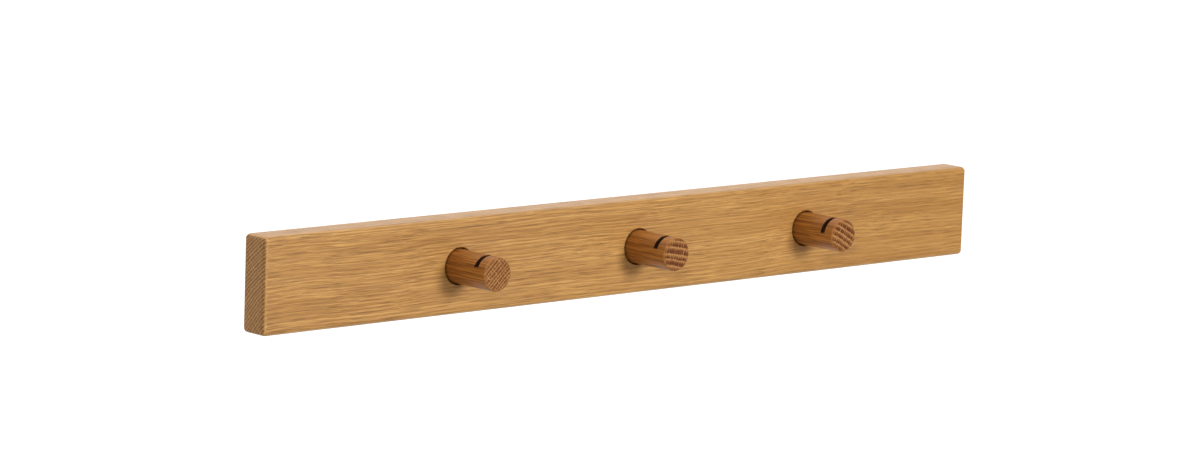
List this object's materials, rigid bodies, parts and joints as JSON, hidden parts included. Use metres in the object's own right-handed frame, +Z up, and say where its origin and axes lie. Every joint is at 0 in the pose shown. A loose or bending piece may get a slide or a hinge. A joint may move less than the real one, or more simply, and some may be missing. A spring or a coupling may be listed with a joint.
{
  "type": "wall hook rack",
  "caption": "Straight solid oak wall rack with round oak pegs, each cut with a saw slot near its end, hung on keyhole plates let into the back.",
  "frame": {"origin": "middle of the board's back face, which lies against the wall", "axes": "+X along the board to the right as seen from the front, +Y into the wall, so the pegs point along -Y, and +Z up"},
  "size_m": [0.6, 0.057, 0.06],
  "materials": {
    "oak_board": "clear oiled solid oak, satin, grain along the board",
    "oak_peg": "clear oiled solid oak, satin, grain along the peg",
    "zinc_screw": "zinc plated steel",
    "steel_plate": "zinc plated pressed steel"
  },
  "bodies": {
    "root": {"backboard": "oak_board", "peg_left": "oak_peg", "peg_middle": "oak_peg", "peg_right": "oak_peg", "peg_screw_left": "zinc_screw", "peg_screw_middle": "zinc_screw", "peg_screw_right": "zinc_screw", "keyhole_plate_left": "steel_plate", "keyhole_plate_right": "steel_plate", "plate_screw_left_upper": "zinc_screw", "plate_screw_left_lower": "zinc_screw", "plate_screw_right_upper": "zinc_screw", "plate_screw_right_lower": "zinc_screw"}
  },
  "joints": []
}
